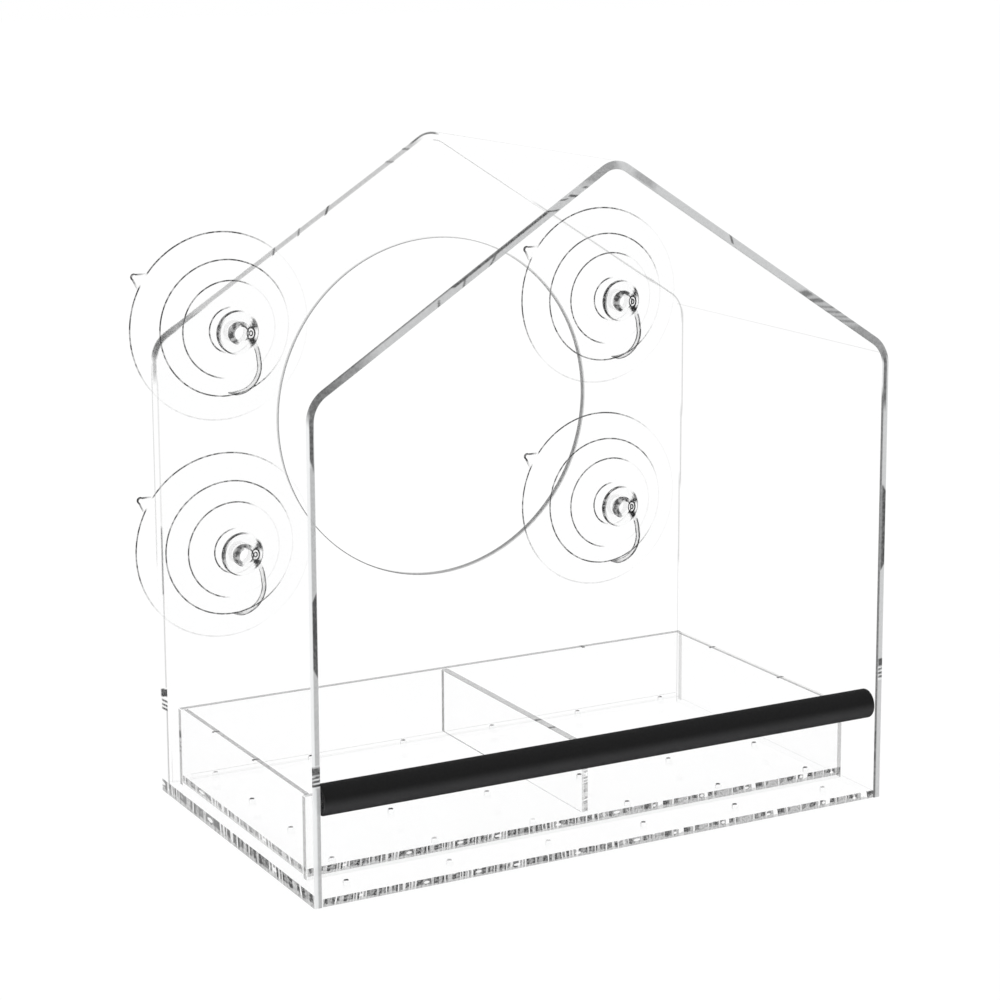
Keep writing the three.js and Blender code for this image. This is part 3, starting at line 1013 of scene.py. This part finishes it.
def cup_hook(side, cups, material):
    """A moulded J-shaped hook on a ring plate."""
    x, z = cup_axis(side)
    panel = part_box("back_panel")[0][1]
    build = Build()
    bore = cups.neck + NECK_PLAY
    plate, near, far = 7.2 * MM, panel - 1.7 * MM, panel - 0.2 * MM
    w = 0.00042  # width of an edge's line
    sides = 72
    section = [
        (bore, near + w), (bore + w, near), (plate - 8.4 * w, near), (plate - 6.6 * w, near),
        (plate - 4.6 * w, near), (plate - 2.4 * w, near), (plate - w, near),
        (plate, near + w), (plate, far - w), (plate - w, far), (bore + w, far), (bore, far - w),
    ]
    kinds = ("bore", "", "shadow_wedge_root", "shadow_wedge_low", "shadow_wedge", "face", "edge", "edge", "", "", "", "")
    rows = []
    for t in turns(sides):
        rows.append([build.point((x + r * math.cos(t), y, z + r * math.sin(t))) for r, y in section])
    build.skin(rows, lambda i, k: arc_finish(i, sides, PLATE_ARCS.get(kinds[k], ())), closed=True)
    # Two small rings drawn in a grey of painted shade, where the rod's root shows through
    place = at(x + 4.3 * MM, near, z - 0.5 * MM) @ STANDING
    for reach, hole in ((2.15, 1.6), (1.0, 0.55)):
        eye = (
            [Vector((p.x * 0.72, p.y)) for p in circle(0, 0, reach * MM, 32)[::-1]],
            [Vector((p.x * 0.7 - 0.1 * MM, p.y)) for p in circle(0, 0, hole * MM, 32)],
        )
        sheet_mesh(build, eye, place, 0.2 * MM, 0.05 * MM, lambda *_: grey(60), grey(60))
    hook_rod(build, x, panel, z)
    return build.object("hook_" + side, material)


def hook_rod(build, x, panel, z):
    """The J rod from the plate's rim round to its pointed tip."""
    radius, bend = 0.78 * MM, 8.4 * MM
    depth = panel - 1.1 * MM
    centre = Vector((x - 1.1 * MM, z - 11.3 * MM))
    start, end = math.radians(12), math.radians(-108)
    leg = ((4.7, -2.7), (5.6, -3.9), (6.3, -5.4), (6.8, -7.1), (7.05, -8.6))
    path = [Vector((x + a * MM, z + b * MM)) for a, b in leg]
    for i in range(45):
        angle = start + (end - start) * i / 44
        path.append(centre + bend * Vector((math.cos(angle), math.sin(angle))))
    count = len(path) - 1
    around = 24
    rows = []
    for i, p in enumerate(path):
        ahead = (path[min(i + 1, count)] - path[max(i - 1, 0)]).normalized()
        side = Vector((-ahead.y, ahead.x))
        width = radius * min(1.0, 0.25 + 5 * (1 - i / count))
        ring = []
        for t in turns(around):
            out = side * math.cos(t) * width
            ring.append(build.point((p.x + out.x, depth + math.sin(t) * width, p.y + out.y)))
        rows.append(ring)

    # The rod's greys are painted light and shade: dark along its two sides, paler on its faces, changing
    # towards the tip, and grey at its ends
    def look(ring, place):
        share = ring / count
        aside = math.cos(math.tau * (place + 0.5) / around)
        if share < 0.02:
            level = 84
        elif share < 0.04:
            level = 238
        elif aside > 0.7:
            level = 78 + 30 * clamp((share - 0.75) / 0.2)
        elif aside < -0.8:
            level = 96 + 70 * clamp((share - 0.3) / 0.3)
        else:
            level = 232 - 120 * clamp((share - 0.78) / 0.15)
        return (tone(level) * (0.62 if abs(aside) < 0.8 else 1), 0.0, 0.0)

    build.skin(rows, look, turned=True)
    build.face(rows[0][::-1], grey(90))
    build.face(rows[-1], grey(110))


# Perch


def perch_sleeve(perch, material):
    """The soft sleeve: a long tube with rounded ends."""
    low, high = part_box("perch_sleeve")
    y, z = (low[1] + high[1]) / 2, (low[2] + high[2]) / 2
    radius, soft = perch.radius, 0.0005
    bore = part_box("perch_rod")[1][2] - z + BOND_GAP
    left, right = low[0] + 0.0016, high[0]  # the left end stays behind the wall's cut edge
    curve = [(soft * (1 - math.sin(t)), radius - soft * (1 - math.cos(t))) for t in turns(24)[:7]]
    rings = [(left, bore)] + [(left + deep, r) for deep, r in reversed(curve)]
    count = 60
    rings += [(left + soft + (right - left - 2 * soft) * k / count, radius) for k in range(1, count)]
    rings += [(right - deep, r) for deep, r in curve] + [(right, bore)]
    build = Build()
    rows = []
    for px, r in rings:
        rows.append([build.point((px, y + r * math.cos(t), z + r * math.sin(t))) for t in turns(64)])
    build.skin(rows, lambda *_: CLEAR, closed=True)
    return build.object("sleeve", material)


# Operators


def acrylic(context, name="polished_acrylic", body=0.016, roughness=0.04, grain=0.07, scale=900):
    """The clear sheet's material, made once under each name."""
    made = bpy.data.materials.get(name)
    if made is None:
        sheet = context.scene.feeder_sheet
        made = clear_material(name, tuple(sheet.tint), tuple(sheet.cut), body, roughness, grain, scale)
    return made


def drilled(context):
    """The same sheet where it is drilled, with the light catching some holes more than others."""
    return acrylic(context, "drilled_acrylic", body=0.01, roughness=0.08, grain=0.75, scale=42)


class BuildHouse(bpy.types.Operator):
    """Make the bent house sheet, the back panel and the drilled floor"""

    bl_idname = "feeder.house"
    bl_label = "House"

    def execute(self, context):
        sheet = context.scene.feeder_sheet
        material = acrylic(context)
        ride(house_shell(sheet, material), "house", "clear_acrylic", "house_shell")
        ride(back_panel(sheet, material), "house", "clear_acrylic", "back_panel")
        low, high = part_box("floor_panel")
        places = drain_places(low[1], high[1], HOUSE_MARGIN, sheet)

        def look(kind, loop, place, middle):
            if loop:
                return CLEAR
            # The far lines of the right and back edges get greys of painted shade; the front edge shows
            # saw marks
            if middle[1] < low[1] + TINY:
                return sawn(1.0)
            if kind != "far_line" or middle[0] < low[0] + TINY:
                return CLEAR
            return grey(190 if middle[0] > high[0] - TINY else 238)

        floor = floor_sheet("floor_sheet", "floor_panel", places, sheet, material, look)
        ride(floor, "house", "clear_acrylic", "floor_panel")
        open_row = places[0], places[1][:1]
        rims = drain_rims("floor_rims", "floor_panel", open_row, sheet, drilled(context), rim_tree())
        ride(rims, "house", "clear_acrylic")
        return {"FINISHED"}


# Marks on the tray's walls: dark nicks across the top edges (where along each wall), half the
# width of a nick, and how far out the tops of the side walls are lit (m)
NICKS = {
    "tray_left_wall": (0.0202, -0.0118),
    "tray_right_wall": (0.0251, -0.0173),
    "tray_divider": (-0.0191, -0.0282),
    "tray_back_wall": (0.0547,),
}
NICK = 0.0006
LIT_LEFT, LIT_RIGHT = -0.0947, 0.0943
# Dashes up the left end of the back wall: from, to (mm) and grey
DASHES = ((18.6, 21.0, 90), (16.9, 17.4, 130), (15.4, 15.9, 130), (13.9, 14.4, 130))
TRAY_WALLS = ("tray_front_wall", "tray_back_wall", "tray_left_wall", "tray_right_wall", "tray_divider")


def tray_wall_look(node, low, high):
    """Where one wall of the tray is divided, and how light shows on its faces and edges."""
    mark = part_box("tray_floor")
    nicks = NICKS.get(node, ())
    axis = 0 if node == "tray_back_wall" else 1
    back_end, foot = high[1] - 0.0018, low[2] + 0.0005

    def look(sides, centre):
        x, y, z = centre
        at_floor = mark[0][2] - TINY < z < mark[1][2] + TINY
        if "top" in sides and any(abs(centre[axis] - place) < NICK for place in nicks):
            return (tone(40), 0.0, 0.85)
        if node == "tray_left_wall":
            if sides == {"left"} and at_floor:
                return sawn(0.76)
            return grey(178) if "top" in sides and x > LIT_LEFT else CLEAR
        if node == "tray_right_wall":
            if sides == {"top"}:
                return grey(176 if x < LIT_RIGHT else 238)
            return grey(205) if sides == {"left", "back"} else CLEAR
        if node == "tray_front_wall":
            if at_floor and sides in ({"front"}, {"left"}):
                return sawn(1.0 if sides == {"front"} else 0.9)
            # Below the tray floor, the front face gets a faint painted reflection of the sawn strip above
            # it
            if sides == {"front"} and z < mark[0][2]:
                return grey(246)
            return plain_sides(sides, {"left": 188, "right": 200, "top": 205})
        if node == "tray_back_wall":
            level = [d for a, b, d in DASHES if a * MM < z < b * MM] or [182]
            return plain_sides(sides, {"left": level[0], "right": 222, "top": 176})
        if "top" in sides:
            return grey(190)
        if sides == {"left"} and y > back_end:
            return grey(160)
        if sides == {"left"} and z < foot or sides == {"left", "bottom"}:
            return grey(150 if y > 0 else 216)
        return sawn(0.62) if sides == {"front"} else CLEAR

    cuts = [[LIT_LEFT, LIT_RIGHT], [], [mark[0][2], mark[1][2]]]
    cuts[axis] = cuts[axis] + [place + side for place in nicks for side in (-NICK, NICK)]
    if node == "tray_back_wall":
        cuts[2] = cuts[2] + [place * MM for dash in DASHES for place in dash[:2]]
    if node == "tray_divider":
        cuts[1] = cuts[1] + [0.0, back_end]
        cuts[2] = cuts[2] + [foot]
    return cuts, look


def plain_sides(sides, greys):
    """The grey of a flat side that has one; edge breaks and other sides are clear."""
    name = min(sides)
    return grey(greys[name]) if len(sides) == 1 and name in greys else CLEAR


class BuildTray(bpy.types.Operator):
    """Make the tray's four walls, divider and drilled floor"""

    bl_idname = "feeder.tray"
    bl_label = "Tray"

    def execute(self, context):
        sheet = context.scene.feeder_sheet
        material = acrylic(context)
        for node in TRAY_WALLS:
            low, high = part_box(node)
            cuts, look = tray_wall_look(node, low, high)
            build = Build()
            slab(build, low, high, sheet.edge_break * 0.7, cuts, look)
            ride(build.object(node + "_sheet", material), "tray", "clear_acrylic", node)
        low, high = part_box("tray_floor")
        front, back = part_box("tray_front_wall")[0][1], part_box("tray_back_wall")[1][1]
        places = drain_places(front, back, TRAY_MARGIN, sheet)

        def look(kind, loop, place, middle):
            # The far line of the back edge gets a grey of painted shade
            if loop or kind != "far_line" or middle[1] < high[1] - TINY:
                return CLEAR
            return grey(216)

        floor = floor_sheet("tray_floor_sheet", "tray_floor", places, sheet, material, look)
        ride(floor, "tray", "clear_acrylic", "tray_floor")
        rims = drain_rims("tray_rims", "tray_floor", places, sheet, drilled(context), rim_tree())
        ride(rims, "tray", "clear_acrylic")
        return {"FINISHED"}


class BuildCups(bpy.types.Operator):
    """Make the four suction cups and their hooks"""

    bl_idname = "feeder.cups"
    bl_label = "Suction cups"

    def execute(self, context):
        cups = context.scene.feeder_cups
        tint = tuple(cups.tint)
        # The darks that the painted edge shade of vinyl and plastic mixes in
        vinyl_dark, plastic_dark = (0.03, 0.03, 0.031), (0.02, 0.02, 0.021)
        vinyl = clear_material(
            "soft_vinyl", tint, vinyl_dark, body=0.014, roughness=0.08, grain=0.42, grain_scale=520
        )
        plastic = clear_material(
            "moulded_plastic", tint, plastic_dark, body=0.03, roughness=0.06, grain=0.3, grain_scale=700
        )
        for side in SIDES:
            ride(suction_cup(side, cups, vinyl), "cup_" + side, "clear_vinyl", "suction_cup_" + side)
            ride(cup_hook(side, cups, plastic), "hook_" + side, "clear_plastic", "cup_hook_" + side)
        return {"FINISHED"}


class BuildPerch(bpy.types.Operator):
    """Make the perch: the sleeve, and a finish for the rod inside it"""

    bl_idname = "feeder.perch"
    bl_label = "Perch"

    def execute(self, context):
        perch = context.scene.feeder_perch
        sleeve = perch_sleeve(perch, rubber_material(tuple(perch.colour)))
        ride(sleeve, "house", "black_foam_rubber", "perch_sleeve")
        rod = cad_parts["perch_rod"]
        rod.data.materials.clear()
        rod.data.materials.append(acrylic(context))
        return {"FINISHED"}


# Studio


def soft_light(name, place, size, watts):
    light = bpy.data.lights.new(name, "AREA")
    light.size = size
    light.energy = watts
    made = bpy.data.objects.new(name, light)
    made.location = place
    made.rotation_euler = (Vector((0, 0, 0.1)) - Vector(place)).to_track_quat("-Z", "Y").to_euler()
    bpy.context.scene.collection.objects.link(made)


def seen_share(tree, most):
    """`most` for a ray of the camera, or one seen in gloss or through a clear part, else 0."""
    path = tree.nodes.new("ShaderNodeLightPath")
    share = path.outputs["Is Camera Ray"]
    for name in ("Is Glossy Ray", "Is Transmission Ray"):
        more = tree.nodes.new("ShaderNodeMath")
        more.operation = "MAXIMUM"
        tree.links.new(share, more.inputs[0])
        tree.links.new(path.outputs[name], more.inputs[1])
        share = more.outputs[0]
    scaled = tree.nodes.new("ShaderNodeMath")
    scaled.operation = "MULTIPLY"
    scaled.inputs[1].default_value = most
    tree.links.new(share, scaled.inputs[0])
    return scaled.outputs[0]


def lit_and_seen(holder, end, most, *shaders):
    """Gives a world or a material two plain shaders: one lights the feeder, one is seen.

    Each shader is its node's type, its colour, and its strength where it has one.
    """
    holder.use_nodes = True
    tree = holder.node_tree
    tree.nodes.clear()
    both = tree.nodes.new("ShaderNodeMixShader")
    tree.links.new(seen_share(tree, most), both.inputs["Fac"])
    for place, (kind, colour, *strength) in enumerate(shaders, 1):
        made = tree.nodes.new(kind)
        made.inputs["Color"].default_value = (*colour, 1)
        if strength:
            made.inputs["Strength"].default_value = strength[0]
        tree.links.new(made.outputs[0], both.inputs[place])
    tree.links.new(both.outputs[0], tree.nodes.new(end).inputs["Surface"])


def white_world(stage):
    """An even light, and a backdrop that only the camera, gloss and clear parts see."""
    world = bpy.data.worlds.new("studio")
    bpy.context.scene.world = world
    lit = ("ShaderNodeBackground", (1, 1, 1), stage.fill)
    lit_and_seen(world, "ShaderNodeOutputWorld", 1.0, lit, ("ShaderNodeBackground", stage.backdrop))


def white_floor(stage):
    """A plain floor that shows white and keeps a little of the feeder's shadow."""
    mesh = bpy.data.meshes.new("floor")
    reach, z = 6.0, -0.0003
    corners = [(-reach, -reach, z), (reach, -reach, z), (reach, reach, z), (-reach, reach, z)]
    mesh.from_pydata(corners, [], [(0, 1, 2, 3)])
    floor = bpy.data.objects.new("floor", mesh)
    bpy.context.scene.collection.objects.link(floor)
    material = bpy.data.materials.new("white_floor")
    lit = ("ShaderNodeBsdfDiffuse", (0.85, 0.85, 0.85))
    seen = ("ShaderNodeEmission", stage.backdrop, 1.04)
    lit_and_seen(material, "ShaderNodeOutputMaterial", 0.9, lit, seen)
    mesh.materials.append(material)


# The camera's place, the way it looks, and how far the frame is shifted
CAMERA_PLACE = (-0.3929, -0.73045, 0.2826)
CAMERA_AIM = (0.48542, 0.85652, -0.17534)
CAMERA_SHIFT = (-0.0665, -0.118)


class BuildStage(bpy.types.Operator):
    """Make the white floor, the soft lights and the camera"""

    bl_idname = "feeder.stage"
    bl_label = "Studio"

    def execute(self, context):
        stage = context.scene.feeder_stage
        scene = context.scene
        scene.view_settings.view_transform = "Standard"
        scene.cycles.transparent_max_bounces = 96  # more clear faces than lie behind each other
        white_floor(stage)
        white_world(stage)
        soft_light("key_light", (-0.9, -0.9, 1.5), size=1.4, watts=2.2)
        soft_light("side_light", (1.3, -0.5, 0.9), size=1.2, watts=0.9)
        lens = bpy.data.cameras.new("camera")
        lens.sensor_width = 36
        lens.lens = stage.lens * 1000
        lens.shift_x, lens.shift_y = CAMERA_SHIFT
        lens.clip_end = 50
        camera = bpy.data.objects.new("camera", lens)
        camera.location = CAMERA_PLACE
        camera.rotation_euler = Vector(CAMERA_AIM).to_track_quat("-Z", "Y").to_euler()
        scene.collection.objects.link(camera)
        scene.camera = camera
        return {"FINISHED"}


class FeederPanel(bpy.types.Panel):
    bl_idname = "VIEW3D_PT_feeder"
    bl_label = "Window Bird Feeder"
    bl_space_type = "VIEW_3D"
    bl_region_type = "UI"
    bl_category = "Feeder"

    def draw(self, context):
        for name, kind in GROUPS.items():
            box = self.layout.box()
            for key in kind.__annotations__:
                box.prop(getattr(context.scene, name), key)
        for operator in OPERATORS:
            self.layout.operator(operator.bl_idname)


OPERATORS = (BuildHouse, BuildTray, BuildCups, BuildPerch, BuildStage)
GROUPS = {
    "feeder_sheet": SheetSizes, "feeder_cups": CupSizes, "feeder_perch": PerchSizes,
    "feeder_stage": StageSizes,
}


def register():
    for item in (*GROUPS.values(), *OPERATORS, FeederPanel):
        bpy.utils.register_class(item)
    for name, kind in GROUPS.items():
        setattr(bpy.types.Scene, name, PointerProperty(type=kind))


def unregister():
    for name in GROUPS:
        delattr(bpy.types.Scene, name)
    for item in (FeederPanel, *OPERATORS, *GROUPS.values()):
        bpy.utils.unregister_class(item)


def main():
    register()
    bpy.ops.feeder.stage()
    bpy.ops.feeder.house()
    bpy.ops.feeder.tray()
    bpy.ops.feeder.perch()
    bpy.ops.feeder.cups()


if __name__ == "__main__":
    main()
